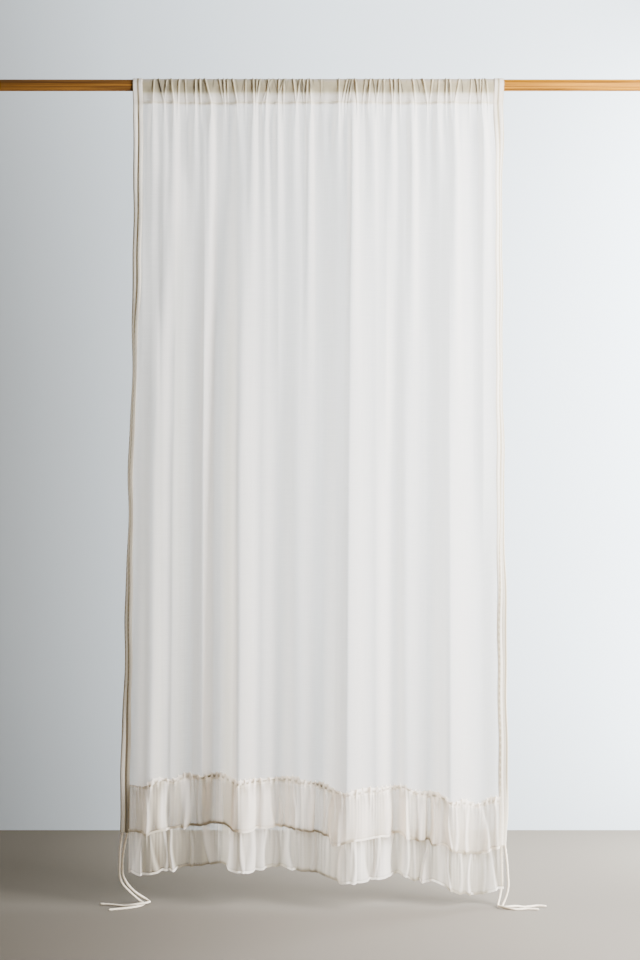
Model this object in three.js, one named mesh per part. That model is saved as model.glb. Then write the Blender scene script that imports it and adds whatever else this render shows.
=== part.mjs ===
// A sheer ruffled roman shade of cotton voile, gathered on a round wooden rod.
// Sizes are in millimetres. X runs to the viewer's right, Y away from the viewer and Z up,
// and the origin is on the rod's axis, midway along it.
import * as THREE from "three";

const { clamp } = THREE.MathUtils;

// Driving dimensions
const ROD = { diameter: 28, length: 1800, chamfer: 1.5, sides: 32 };
const CLOTH = { thick: 1.6, gap: 0.3, seat: 0.6, steepest: 2.2 };
const PANEL_HALF = 428;
const HEADING = { stitchZ: -42, crotchRise: 3, hemBelow: 5, firstAngle: 70, steps: 6 };
const CASING = { width: 24, edgeThick: 1.6, channelThick: 6, seamThick: 1.8 };
const CASING_DROP = { left: 1779, right: 1814 };
const RUFFLE = { upperRise: 117, lowerRise: 8, lowerLeftOver: 2, lowerRightOver: 10 };
const CORD = { diameter: 5, sides: 8, steps: 24 };

// Shares of the drop at which the cloth's sections are taken, from the heading's stitch line down.
const FALLS = [0, 0.03, 0.09, 0.22, 0.37, 0.53, 0.72, 0.934, 1];

function table(columns, rows) {
  return rows.map((row) => Object.fromEntries(columns.map((name, i) => [name, row[i]])));
}

// The side edges, by share of the drop: where each casing meets the panel, and the degrees it turns back.
const LEFT_SIDE = table(["at", "inner", "turn"], [
  [0, -428, 0], [0.09, -428, 8], [0.22, -431.5, 24], [0.37, -444, 56],
  [0.53, -452.5, 57], [0.72, -453.5, 36], [0.934, -458.5, 5], [1, -459.5, 0],
]);
const RIGHT_SIDE = table(["at", "inner", "turn"], [
  [0, 427, 0], [0.09, 433, 40], [0.22, 433, 43], [0.37, 434, 40],
  [0.53, 435, 31], [0.72, 436.5, 5], [0.934, 440, 8], [1, 442, 35],
]);

// The panel's drop below the stitch line, which wanders, and is longest near the right side.
const DROPS = table(["at", "drop"], [
  [-428, 1777], [-60, 1773], [-28, 1779], [35, 1793], [175, 1793], [196, 1789],
  [230, 1805], [285, 1808], [340, 1831], [376, 1839], [428, 1820],
]);

// The broad folds: each row is a crest (towards the viewer, below zero) or a trough at the bottom edge.
const BROAD_FOLDS = table(["at", "depth"], [
  [-428, -10], [-381, -40], [-340, 30], [-288, 55], [-232, 80], [-177, -25],
  [-133, 12], [-92, 35], [-44, -5], [1, 18], [60, -50], [134, -10],
  [182, 38], [212, 12], [258, 38], [309, -15], [386, 18], [428, 0],
]);
const BROAD_GROWTH = { start: 0.12, power: 0.8 };

// The soft folds that leave the heading and fade into the broad ones: run is how far down each one shows.
const SOFT_FOLDS = table(["at", "height", "run"], [
  [-405, 10, 620], [-352, 12, 700], [-305, 9, 480], [-263, 13, 1500], [-232, 8, 330], [-196, 7, 300],
  [-160, 10, 560], [-131, 9, 640], [-100, 9, 520], [-60, 8, 480], [-22, 12, 1200], [14, 8, 330],
  [48, 9, 380], [84, 12, 900], [128, 9, 560], [178, 10, 620], [228, 12, 900], [262, 7, 420],
  [292, 9, 360], [330, 12, 1000], [402, 10, 640],
]);
const SOFT = { width: 15, spread: 12, back: 4, atStitch: 0.6 };

// The gathers of the heading stand in clusters, with flat stretches between them.
const GATHERS = table(["at", "pleats", "pitch"], [
  [-372, 6, 14], [-287, 5, 8], [-227, 4, 10.5], [-160, 4, 12], [-104, 4, 11], [-43, 5, 10], [70, 5, 10],
  [135, 5, 10], [190, 3, 8.5], [243, 3, 13], [296, 4, 13], [343, 2, 15], [391, 4, 15],
]);
const PLEAT = { height: 6, atStitch: 0.6, fadeBy: 0.04 };
const WIDEST_COLUMN = 13;

// The folds of the two ruffles: each row is a crest, and lift is how far it stands out at the hem.
const UPPER_CRESTS = table(["at", "lift"], [
  [-446, 8], [-419, 17], [-370, 19], [-323, 18], [-282, 12], [-248, 12], [-199, 15], [-158, 20],
  [-123, 17], [-92, 14], [-60, 17], [-16, 18], [40, 16], [116, 20], [174, 18], [216, 18],
  [262, 18], [287, 14], [323, 17], [362, 14], [406, 18], [432, 8],
]);
const LOWER_CRESTS = table(["at", "lift"], [
  [-470, 8], [-436, 18], [-394, 14], [-353, 20], [-282, 12], [-250, 12], [-216, 17], [-189, 14], [-160, 20],
  [-128, 18], [-65, 16], [-21, 12], [50, 17], [92, 18], [121, 18], [177, 20], [213, 15],
  [267, 20], [316, 14], [370, 18], [418, 19], [442, 8],
]);

// The ruffles' sections, from the top edge down: how far each stands off the panel, its share of
// the folds' lift, and the crinkle of the frill above the upper ruffle's seam.
const UPPER_ROWS = table(["down", "stand", "folds", "crinkle"], [
  [0, 2, 0.15, 3], [11, 0, 0.15, 0], [44, 4.5, 0.55, 0], [114, 7.5, 1, 0],
]);
const LOWER_ROWS = table(["down", "stand", "folds", "crinkle"], [
  [0, 0, 0.15, 0], [14, 0, 0.15, 0], [52, 2, 0.6, 0], [105, 3, 1, 0],
]);

// The routes of the cords' free ends, from the casings' mouths to their tips on the floor.
const CORD_ROUTES = {
  tie_left_outer: [
    [-477.5, -6, -1821.6], [-482, -6, -1850], [-484, -6, -1890], [-484, -5, -1926], [-478, 0, -1947],
    [-464, 9, -1966], [-450, 17, -1982], [-437, 20, -1994], [-428, 13, -1997.4], [-426, 0, -1997.4],
    [-433, -14, -1997.4], [-446, -26, -1997.4], [-464, -36, -1997.4], [-484, -44, -1997.4],
    [-506, -52, -1997.4],
  ],
  tie_left_inner: [
    [-465.5, -6, -1821.6], [-471, -6, -1846], [-477, -6, -1886], [-476.5, -3, -1924], [-468, 4, -1946],
    [-452, 15, -1968], [-437, 24, -1982], [-424, 27, -1991], [-415, 20, -1995], [-413, 4, -1992.5],
    [-420, -9, -1991.7], [-434, -16, -1991.9], [-450, -19, -1993.6], [-470, -15, -1997.2],
    [-495, -6, -1997.4], [-515, 0, -1997.4], [-534, 3, -1997.4],
  ],
  tie_right_outer: [
    [456.7, 14.3, -1856.6], [458.5, 12.5, -1872], [461, 8, -1898], [462.5, 3, -1928], [463, -3, -1950],
    [459, -7, -1970], [452, -12, -1987], [447, -19, -1996], [450, -29, -1997.4], [461, -39, -1997.4],
    [474, -46, -1997.4], [488, -45, -1997.4], [502, -41, -1997.4], [516, -43, -1997.4], [532, -48, -1997.4],
  ],
  tie_right_inner: [
    [446.9, 7.4, -1856.6], [447.2, 8, -1882], [447.6, 7, -1912], [448, 4, -1945], [444, -3, -1968],
    [439, -12, -1985], [436, -22, -1994.5], [441, -34, -1993.5], [452, -44, -1992], [466, -41, -1991.8],
    [480, -31, -1993.5], [496, -26, -1996.8], [514, -20, -1997.4], [532, -13, -1997.4], [554, -18, -1997.4],
  ],
};

const COLOURS = { voile: 0xe9e6e0, casing: 0xdcd3c6, cord: 0xe8dfd2, wood: 0xb98245 };

const ease = (t) => (1 - Math.cos(Math.PI * clamp(t, 0, 1))) / 2;
const bell = (distance, halfWidth) => ease(1 - Math.abs(distance) / halfWidth);

// A table of crests and troughs read at one place, easing from each row to the next.
function eased(rows, place, column) {
  const next = rows.findIndex((row) => row.at >= place);
  if (next === 0) return rows[0][column];
  if (next < 0) return rows[rows.length - 1][column];
  const [a, b] = [rows[next - 1], rows[next]];
  return a[column] + (b[column] - a[column]) * ease((place - a.at) / (b.at - a.at));
}

const sideRows = (side) => (side < 0 ? LEFT_SIDE : RIGHT_SIDE);

// A place across the heading, followed down the cloth as the shade flares.
function across(at, fall) {
  const inner = Math.abs(eased(sideRows(at), fall, "inner"));
  return (at * (inner - CLOTH.gap)) / PANEL_HALF;
}

const dropAt = (at) => eased(DROPS, at, "drop");

function pleatHeight(at) {
  const heights = GATHERS.flatMap(({ at: middle, pleats, pitch }) =>
    Array.from({ length: pleats }, (_, i) => middle + (i - (pleats - 1) / 2) * pitch).map((crest) =>
      bell(at - crest, pitch / 2),
    ),
  );
  return PLEAT.height * Math.max(...heights);
}

function softDepth(at, fall) {
  const drop = dropAt(at);
  return SOFT_FOLDS.reduce((depth, fold) => {
    const share = clamp((fall * drop) / fold.run, 0, 1);
    const bulge = bell(at - fold.at, SOFT.width + SOFT.spread * share) * ease(1 - share);
    return depth - fold.height * bulge;
  }, SOFT.back);
}

// How far behind the rod's axis the cloth hangs, by its place across the heading and its share of the drop.
function foldDepth(at, fall) {
  const broad = eased(BROAD_FOLDS, at, "depth");
  const growth = BROAD_GROWTH.start + (1 - BROAD_GROWTH.start) * fall ** BROAD_GROWTH.power;
  const pleat = pleatHeight(at) * PLEAT.atStitch * ease(1 - fall / PLEAT.fadeBy);
  const softness = SOFT.atStitch + (1 - SOFT.atStitch) * ease(fall / PLEAT.fadeBy);
  return broad * growth + softDepth(at, fall) * softness - pleat;
}

// A sloping sheet is deeper front to back than it is thick.
function slopeFactor(at, fall) {
  const slope = (foldDepth(at + 1, fall) - foldDepth(at - 1, fall)) / 2;
  return Math.min(Math.hypot(1, slope), CLOTH.steepest);
}

// The cells that close a strip's end, each between two front rows and the two back rows behind them.
function rowCells(rows, outerCount) {
  return Array.from({ length: rows - 1 }, (_, i) => [i, i + 1, outerCount - 2 - i, outerCount - 1 - i]);
}

// The closed solid through a row of section outlines. Outer outlines climb the front and come down the back,
// inner ones, where there are any, run the same way round the space inside, and cells close the two ends.
function loft(columns, cells) {
  const outerCount = columns[0].outer.length;
  const count = outerCount + columns[0].inner.length;
  const points = columns.flatMap(({ outer, inner }) => [...outer, ...inner]);
  const faces = [];
  const wall = (start, length, inwards) => {
    for (let i = 0; i + 1 < columns.length; i++) {
      for (let j = 0; j < length; j++) {
        const a = i * count + start + j;
        const d = i * count + start + ((j + 1) % length);
        const [b, c] = [a + count, d + count];
        faces.push(...(inwards ? [a, c, b, a, d, c] : [a, b, c, a, c, d]));
      }
    }
  };
  wall(0, outerCount, false);
  wall(outerCount, count - outerCount, true);
  const cap = (first, turned) => {
    cells.forEach((cell) => {
      const outline = cell.map((i) => new THREE.Vector2(points[first + i].y, points[first + i].z));
      THREE.ShapeUtils.triangulateShape(outline, []).forEach((corners) => {
        const face = corners.map((k) => first + cell[k]);
        faces.push(...(turned ? face.reverse() : face));
      });
    });
  };
  cap(0, true);
  cap((columns.length - 1) * count, false);
  return new THREE.BufferGeometry().setFromPoints(points).setIndex(faces);
}

// The end cells of cloth that hangs from the rod: its drop, the seam below the rod and the loop round it.
function hangingCells() {
  const rows = FALLS.length - 1;
  const { steps } = HEADING;
  const loop = rows + 1;
  const outerCount = 2 * rows + steps + 4;
  const inside = outerCount + 1;
  const ring = Array.from({ length: steps }, (_, k) => [loop + k, loop + k + 1, inside + k + 1, inside + k]);
  const seamBack = [loop + steps, loop + steps + 1, loop + steps + 2, loop + steps + 3];
  const seam = [rows - 1, rows, loop, inside, outerCount, inside + steps, ...seamBack];
  return [...rowCells(rows, outerCount), seam, ...ring];
}

// The turned edge of the heading's hem, just below the stitch line.
const hemEdge = (x, depth) => new THREE.Vector3(x, depth, HEADING.stitchZ - HEADING.hemBelow);

// One section of hanging cloth: a loop over the rod, stitched to itself, and the drop below it.
function hangingColumn({ xAt, depthAt, thickAt, drop, pleat }) {
  const facet = Math.cos(THREE.MathUtils.degToRad((180 - HEADING.firstAngle) / HEADING.steps));
  const inside = (ROD.diameter / 2 + CLOTH.gap) / facet + pleat;
  const loop = (radius) =>
    Array.from({ length: HEADING.steps + 1 }, (_, i) => {
      const turn = HEADING.firstAngle + (i * (360 - 2 * HEADING.firstAngle)) / HEADING.steps;
      const angle = THREE.MathUtils.degToRad(turn);
      return new THREE.Vector3(xAt(0), -radius * Math.sin(angle), -radius * Math.cos(angle));
    });
  const point = (fall, depth) => new THREE.Vector3(xAt(fall), depth, HEADING.stitchZ - fall * drop);
  const face = (fall, side) => point(fall, depthAt(fall) + (side * thickAt(fall)) / 2);
  const seam = depthAt(0);
  const layers = thickAt(0);
  const below = FALLS.slice(1);
  const front = [...below.map((fall) => face(fall, -1)).reverse(), point(0, seam - layers)];
  const hem = hemEdge(xAt(0), seam + layers / 2);
  const back = [point(0, seam + layers), hem, ...below.map((fall) => face(fall, 1))];
  const crotch = new THREE.Vector3(xAt(0), seam, HEADING.stitchZ + HEADING.crotchRise);
  return { outer: [...front, ...loop(inside + layers), ...back], inner: [crotch, ...loop(inside)] };
}

// The panel's columns stand on every crest and trough of its gathers, with no wider gap than WIDEST_COLUMN.
function panelPlaces() {
  const marks = GATHERS.flatMap(({ at, pleats, pitch }) =>
    Array.from({ length: 2 * pleats + 1 }, (_, i) => at + ((i - pleats) * pitch) / 2),
  );
  const all = [-PANEL_HALF, ...marks, PANEL_HALF];
  return all.flatMap((place, i) => {
    if (i === 0) return [place];
    const gap = place - all[i - 1];
    const parts = Math.ceil(gap / WIDEST_COLUMN);
    return Array.from({ length: parts }, (_, k) => all[i - 1] + (gap * (k + 1)) / parts);
  });
}

function panelGeometry() {
  return loft(
    panelPlaces().map((at) =>
      hangingColumn({
        xAt: (fall) => across(at, fall),
        depthAt: (fall) => foldDepth(at, fall),
        thickAt: (fall) => CLOTH.thick * slopeFactor(at, fall),
        drop: dropAt(at),
        pleat: pleatHeight(at),
      }),
    ),
    hangingCells(),
  );
}

// A cord casing: two channels side by side, folded over the rod with the heading and turned back below it.
function casingGeometry(side) {
  const rows = sideRows(side);
  const drop = side < 0 ? CASING_DROP.left : CASING_DROP.right;
  const { edgeThick, channelThick, seamThick, width } = CASING;
  const profile = [edgeThick, channelThick, seamThick, channelThick, edgeThick];
  const turn = (fall) => THREE.MathUtils.degToRad(eased(rows, fall, "turn"));
  const columns = profile.map((thick, i) => {
    const outwards = (width * i) / (profile.length - 1);
    return hangingColumn({
      xAt: (fall) => eased(rows, fall, "inner") + side * outwards * Math.cos(turn(fall)),
      depthAt: (fall) => foldDepth(side * PANEL_HALF, fall) + outwards * Math.sin(turn(fall)),
      thickAt: (fall) => (fall > 0 ? thick / Math.cos(turn(fall)) : edgeThick),
      drop,
      pleat: 0,
    });
  });
  return loft(side < 0 ? columns.reverse() : columns, hangingCells());
}

// How far a ruffle's folds stand out at x, from nothing in a trough to a crest's full lift.
function crestLift(crests, x) {
  const next = clamp(crests.findIndex((row) => row.at >= x), 1, crests.length - 1);
  const [a, b] = [crests[next - 1], crests[next]];
  const share = clamp((x - a.at) / (b.at - a.at), 0, 1);
  const lift = a.lift + (b.lift - a.lift) * share;
  return (lift * (1 + Math.cos(2 * Math.PI * share))) / 2;
}

// A gathered strip sewn along the front of the panel, on the panel's own columns.
function ruffleGeometry({ crests, rows, places, rise }) {
  const columns = places.map((at, i) => {
    const lift = crestLift(crests, across(at, 1));
    const sections = rows.map(({ down, stand, folds, crinkle }) => {
      const z = HEADING.stitchZ - dropAt(at) + rise - down;
      const fall = clamp((HEADING.stitchZ - z) / dropAt(at), 0, 1);
      const steep = slopeFactor(at, fall);
      const off = (CLOTH.thick / 2 + CLOTH.seat) * steep + stand + folds * lift + crinkle * (i % 2);
      const back = foldDepth(at, fall) - off;
      return { x: across(at, fall), z, back, front: back - CLOTH.thick * steep };
    });
    const front = sections.map((s) => new THREE.Vector3(s.x, s.front, s.z)).reverse();
    const back = sections.map((s) => new THREE.Vector3(s.x, s.back, s.z));
    return { outer: [...front, ...back], inner: [] };
  });
  return loft(columns, rowCells(rows.length, 2 * rows.length));
}

function upperRuffleGeometry() {
  const places = panelPlaces();
  return ruffleGeometry({ crests: UPPER_CRESTS, rows: UPPER_ROWS, places, rise: RUFFLE.upperRise });
}

function lowerRuffleGeometry() {
  const { lowerRise, lowerLeftOver, lowerRightOver } = RUFFLE;
  const places = [-PANEL_HALF - lowerLeftOver, ...panelPlaces(), PANEL_HALF + lowerRightOver];
  return ruffleGeometry({ crests: LOWER_CRESTS, rows: LOWER_ROWS, places, rise: lowerRise });
}

function rodGeometry() {
  const [r, half, c] = [ROD.diameter / 2, ROD.length / 2, ROD.chamfer];
  const profile = [[0, -half], [r - c, -half], [r, c - half], [r, half - c], [r - c, half], [0, half]];
  const points = profile.map(([x, y]) => new THREE.Vector2(x, y));
  return new THREE.LatheGeometry(points, ROD.sides).rotateZ(-Math.PI / 2);
}

function cordGeometry(route) {
  const path = new THREE.CatmullRomCurve3(route.map((p) => new THREE.Vector3(...p)));
  const ring = Array.from({ length: CORD.sides }, (_, i) => {
    const angle = (2 * Math.PI * i) / CORD.sides;
    return new THREE.Vector2(Math.cos(angle), Math.sin(angle)).multiplyScalar(CORD.diameter / 2);
  });
  return new THREE.ExtrudeGeometry(new THREE.Shape(ring), { steps: CORD.steps, extrudePath: path });
}

const cloth = (colour) =>
  new THREE.MeshStandardMaterial({ color: colour, roughness: 0.9, metalness: 0, side: THREE.DoubleSide });
const wood = new THREE.MeshStandardMaterial({ color: COLOURS.wood, roughness: 0.5, metalness: 0 });

const shade = new THREE.Group();

function addPiece(name, geometry, material) {
  const mesh = new THREE.Mesh(geometry, material);
  mesh.name = name;
  shade.add(mesh);
}

addPiece("rod", rodGeometry(), wood);
addPiece("panel", panelGeometry(), cloth(COLOURS.voile));
addPiece("casing_left", casingGeometry(-1), cloth(COLOURS.casing));
addPiece("casing_right", casingGeometry(1), cloth(COLOURS.casing));
addPiece("ruffle_upper", upperRuffleGeometry(), cloth(COLOURS.voile));
addPiece("ruffle_lower", lowerRuffleGeometry(), cloth(COLOURS.voile));
Object.entries(CORD_ROUTES).forEach(([name, route]) => {
  addPiece(name, cordGeometry(route), cloth(COLOURS.cord));
});

export default shade;
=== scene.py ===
# %% [markdown]
# # A sheer ruffled roman shade
#
# The part is a shade of cotton voile that hangs from a round wooden rod. Its top is turned over the rod
# and gathered, a corded casing runs down each side, and two ruffles finish the bottom. The cords' free
# ends lie on the floor: drawing them up would fold the shade.
#
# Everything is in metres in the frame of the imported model: the origin is on the rod's axis, X runs to the
# viewer's right, Y away from the viewer and Z up. Tables are in millimetres, as a maker would measure
# them, and MM takes them to metres.

# %% Load the frame
import math

import bmesh
import bpy
import numpy as np
from mathutils import Matrix, Vector


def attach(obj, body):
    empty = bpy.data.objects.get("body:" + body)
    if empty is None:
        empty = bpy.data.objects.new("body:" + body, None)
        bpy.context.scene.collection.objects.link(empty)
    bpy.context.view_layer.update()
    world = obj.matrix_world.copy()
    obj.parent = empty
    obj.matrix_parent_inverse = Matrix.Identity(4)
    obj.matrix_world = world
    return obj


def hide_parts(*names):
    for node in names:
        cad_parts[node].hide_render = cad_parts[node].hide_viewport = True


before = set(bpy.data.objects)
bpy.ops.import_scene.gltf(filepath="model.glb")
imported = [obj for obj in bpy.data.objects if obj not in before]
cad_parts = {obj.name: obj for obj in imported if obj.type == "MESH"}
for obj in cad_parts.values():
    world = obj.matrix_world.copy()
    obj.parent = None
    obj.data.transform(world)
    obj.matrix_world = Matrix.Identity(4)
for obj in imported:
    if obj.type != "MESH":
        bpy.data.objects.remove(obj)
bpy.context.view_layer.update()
MM = 0.001

# %% [markdown]
# ## The camera
#
# The view is from straight ahead at chest height, about four metres away, with a slightly long lens. The
# camera is level, so uprights stay upright and the floor is seen at a shallow angle.

# %% Place the camera
CAMERA = {"distance": 4.0, "below_rod": 0.9626, "aside": 0.0037, "lens": 61.5, "sensor": 36}


def make_camera():
    data = bpy.data.cameras.new("camera")
    data.lens = CAMERA["lens"]
    data.sensor_width = CAMERA["sensor"]
    camera = bpy.data.objects.new("camera", data)
    camera.location = (CAMERA["aside"], -CAMERA["distance"], -CAMERA["below_rod"])
    camera.rotation_euler = (math.pi / 2, 0, 0)
    bpy.context.scene.collection.objects.link(camera)
    bpy.context.scene.camera = camera
    return camera


camera = make_camera()
print("camera at", tuple(camera.location))

# %% [markdown]
# ## Small helpers
#
# Colours are picked as they look on a screen, so one function takes them to the linear values that
# shaders use. Another adds a shader node, sets its sockets and links what feeds it. A third stretches a
# pattern to a size in millimetres. The last one puts a finished mesh in the scene, on the one body of
# this part.

# %% Colours, shader nodes and pieces
def colour(hex_code):
    channels = [int(hex_code[i:i + 2], 16) / 255 for i in (1, 3, 5)]
    linear = [c / 12.92 if c <= 0.04045 else ((c + 0.055) / 1.055) ** 2.4 for c in channels]
    return (*linear, 1.0)


def add_node(tree, kind, settings=None, **sockets):
    node = tree.nodes.new(kind)
    for name, value in (settings or {}).items():
        setattr(node, name, value)
    for name, value in sockets.items():
        key = int(name[1:]) if name[0] == "_" else name.replace("_", " ")
        socket = node.inputs[key]
        if isinstance(value, bpy.types.NodeSocket):
            tree.links.new(value, socket)
        else:
            socket.default_value = value
    return node


def pattern_size(*sizes):
    """The scale of a pattern whose features measure these millimetres along each axis."""
    return tuple(1 / (size * MM) for size in sizes)


def new_material(name):
    material = bpy.data.materials.new(name)
    material.use_nodes = True
    tree = material.node_tree
    tree.nodes.clear()
    output = tree.nodes.new("ShaderNodeOutputMaterial")
    return material, tree, output


def place(name, mesh, material):
    piece = bpy.data.objects.new(name, mesh)
    bpy.context.scene.collection.objects.link(piece)
    mesh.materials.clear()
    mesh.materials.append(material)
    for face in mesh.polygons:
        face.use_smooth = True
    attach(piece, "root")
    return piece


print("cream on a screen is", colour("#f8e9d4")[:3], "to a shader")

# %% [markdown]
# ## A sheet of cloth
#
# Cloth could be draped by a simulation, but these folds have to lie where the tables put them. So each
# cloth starts as a flat grid, as it lies on the cutting table, and a function says where each point of the
# flat cloth goes. The flat place is kept as the piece's own map, in metres, so the weave follows the
# threads round every fold. Two more values are kept beside it: how many layers lie together there, and
# how much painted shade the place gets, below zero a painted highlight. A closed sheet is rolled up, and
# its two side edges are welded.

# %% Shape a flat grid
def shape_sheet(name, columns, rows, shape, material, closed=False):
    bm = bmesh.new()
    bmesh.ops.create_grid(bm, x_segments=columns, y_segments=rows, size=0.5)
    mesh = bpy.data.meshes.new(name)
    bm.to_mesh(mesh)
    bm.free()
    flat = np.empty(len(mesh.vertices) * 3)
    mesh.vertices.foreach_get("co", flat)
    flat = flat.reshape(-1, 3)
    column = np.rint((flat[:, 0] + 0.5) * columns).astype(int)
    row = np.rint((0.5 - flat[:, 1]) * rows).astype(int)
    places, cloth, layers, painted_shade = shape(column, row)
    mesh.vertices.foreach_set("co", (places * MM).ravel())
    uv = mesh.uv_layers.new(name="flat")
    corner = np.empty(len(mesh.loops), int)
    mesh.loops.foreach_get("vertex_index", corner)
    uv.data.foreach_set("uv", (cloth * MM)[corner].ravel())
    for key, values in (("layers", layers), ("painted_shade", painted_shade)):
        kept = mesh.attributes.new(key, "FLOAT", "POINT")
        kept.data.foreach_set("value", values + np.zeros(len(column)))
    if closed:
        bm = bmesh.new()
        bm.from_mesh(mesh)
        bmesh.ops.remove_doubles(bm, verts=bm.verts, dist=1e-6)
        bm.to_mesh(mesh)
        bm.free()
    mesh.update()
    return place(name, mesh, material)


# %% [markdown]
# ## The cords
#
# Four soft cotton cords, two from each casing, hang out of the casings' mouths and lie on the floor. They
# were left as they fell, so each route is a short list of places that a smooth curve joins.

# %% The cords' routes
CORD_ROUTES = {  # metres, from the casing's mouth to the tip
    "tie_left_outer": [
        (-0.4775, -0.006, -1.8216), (-0.482, -0.006, -1.850), (-0.484, -0.006, -1.890),
        (-0.484, -0.005, -1.926), (-0.478, 0.000, -1.947), (-0.464, 0.009, -1.966),
        (-0.450, 0.017, -1.982), (-0.437, 0.020, -1.994), (-0.428, 0.013, -1.9974),
        (-0.426, 0.000, -1.9974), (-0.433, -0.014, -1.9974), (-0.446, -0.026, -1.9974),
        (-0.464, -0.036, -1.9974), (-0.484, -0.044, -1.9974), (-0.506, -0.052, -1.9974),
    ],
    "tie_left_inner": [
        (-0.4655, -0.006, -1.8216), (-0.471, -0.006, -1.846), (-0.477, -0.006, -1.886),
        (-0.4765, -0.003, -1.924), (-0.468, 0.004, -1.946), (-0.452, 0.015, -1.968),
        (-0.437, 0.024, -1.982), (-0.424, 0.027, -1.991), (-0.415, 0.020, -1.995),
        (-0.413, 0.004, -1.9925), (-0.420, -0.009, -1.9917), (-0.434, -0.016, -1.9919),
        (-0.450, -0.019, -1.9936), (-0.470, -0.015, -1.9972), (-0.495, -0.006, -1.9974),
        (-0.515, 0.000, -1.9974), (-0.534, 0.003, -1.9974),
    ],
    "tie_right_outer": [
        (0.4567, 0.0143, -1.8566), (0.4585, 0.0125, -1.872), (0.461, 0.008, -1.898),
        (0.4625, 0.003, -1.928), (0.463, -0.003, -1.950), (0.459, -0.007, -1.970),
        (0.452, -0.012, -1.987), (0.447, -0.019, -1.996), (0.450, -0.029, -1.9974),
        (0.461, -0.039, -1.9974), (0.474, -0.046, -1.9974), (0.488, -0.045, -1.9974),
        (0.502, -0.041, -1.9974), (0.516, -0.043, -1.9974), (0.532, -0.048, -1.9974),
    ],
    "tie_right_inner": [
        (0.4469, 0.0074, -1.8566), (0.4472, 0.008, -1.882), (0.4476, 0.007, -1.912),
        (0.448, 0.004, -1.945), (0.444, -0.003, -1.968), (0.439, -0.012, -1.985),
        (0.436, -0.022, -1.9945), (0.441, -0.034, -1.9935), (0.452, -0.044, -1.992),
        (0.466, -0.041, -1.9918), (0.480, -0.031, -1.9935), (0.496, -0.026, -1.9968),
        (0.514, -0.020, -1.9974), (0.532, -0.013, -1.9974), (0.554, -0.018, -1.9974),
    ],
}
print("route points:", {name: len(route) for name, route in CORD_ROUTES.items()})


# %% Follow a route
def smooth_route(points, step):
    """A curve through the points that doesn't overshoot at a short step, cut at even lengths."""
    p = np.array(points)
    p = np.vstack([2 * p[0] - p[1], p, 2 * p[-1] - p[-2]])
    line = []
    for a, b, c, d in zip(p, p[1:], p[2:], p[3:]):
        ab, bc, cd = (math.sqrt(np.linalg.norm(q)) for q in (b - a, c - b, d - c))
        leave = bc * ((b - a) / ab - (c - a) / (ab + bc) + (c - b) / bc)
        arrive = bc * ((c - b) / bc - (d - b) / (bc + cd) + (d - c) / cd)
        t = np.linspace(0, 1, 25)[:-1, None]
        line.append((2 * t**3 - 3 * t**2 + 1) * b + (t**3 - 2 * t**2 + t) * leave
                    + (3 * t**2 - 2 * t**3) * c + (t**3 - t**2) * arrive)
    line = np.vstack([*line, p[-2:-1]])
    along = np.concatenate([[0], np.cumsum(np.linalg.norm(np.diff(line, axis=0), axis=1))])
    even = np.linspace(0, along[-1], round(along[-1] / step) + 1)
    return np.stack([np.interp(even, along, line[:, k]) for k in range(3)], axis=1), along[-1]


def side_frames(line):
    """Two directions across the line at each point, carried along it without twisting."""
    ahead = np.gradient(line, axis=0)
    ahead /= np.linalg.norm(ahead, axis=1)[:, None]
    first = np.array([1.0, 0.0, 0.0])
    sides = []
    for direction in ahead:
        first = first - direction * (first @ direction)
        first = first / np.linalg.norm(first)
        sides.append((first, np.cross(direction, first)))
    return np.array(sides)


ROUTE_STEP = 0.002
lengths = {name: smooth_route(route, ROUTE_STEP)[1] for name, route in CORD_ROUTES.items()}
print("cord lengths:", {name: round(length, 3) for name, length in lengths.items()})

# %% [markdown]
# A bevelled curve would give a plain round cord. This one is three strands laid together, so its round
# section has three low lobes that turn along it. Each cord is a long strip of grid, rolled round its
# route and closed at the tip. Cotton has no gloss, and its lint breaks up the colour and the surface. The
# lint is drawn about a millimetre long, coarser than real fibres, so that it shows.

# %% Make the cords
CORD = {"diameter": 0.005, "sides": 15, "strands": 3, "twist": 0.012}  # metres
CORD_BODY, CORD_LOBE, TIP_ROWS = 0.97, 0.07, 1.5  # shares of the radius, and rows that close the tip
LINT = 1.111  # millimetres


def make_cord(name, route, material):
    line, length = smooth_route(route, ROUTE_STEP)
    sides = side_frames(line)
    count = len(line) - 1

    def roll(column, row):
        turn = 2 * math.pi * column / CORD["sides"]
        along = row * length / count
        lobes = np.cos(CORD["strands"] * turn - 2 * math.pi * along / CORD["twist"])
        radius = 0.5 * CORD["diameter"] * (CORD_BODY + CORD_LOBE * lobes)
        tip = np.sqrt(np.clip((count - row) / TIP_ROWS, 0.0, 1.0))
        across_line = sides[row, 0] * np.cos(turn)[:, None] + sides[row, 1] * np.sin(turn)[:, None]
        points = line[row] + across_line * (radius * tip)[:, None]
        unrolled = turn * 0.5 * CORD["diameter"] / MM
        return points / MM, np.stack([unrolled, along / MM], axis=1), 1.0, 0.0

    tie = shape_sheet(name + "_cord", CORD["sides"], count, roll, material, closed=True)
    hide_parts(name)
    return tie


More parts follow.
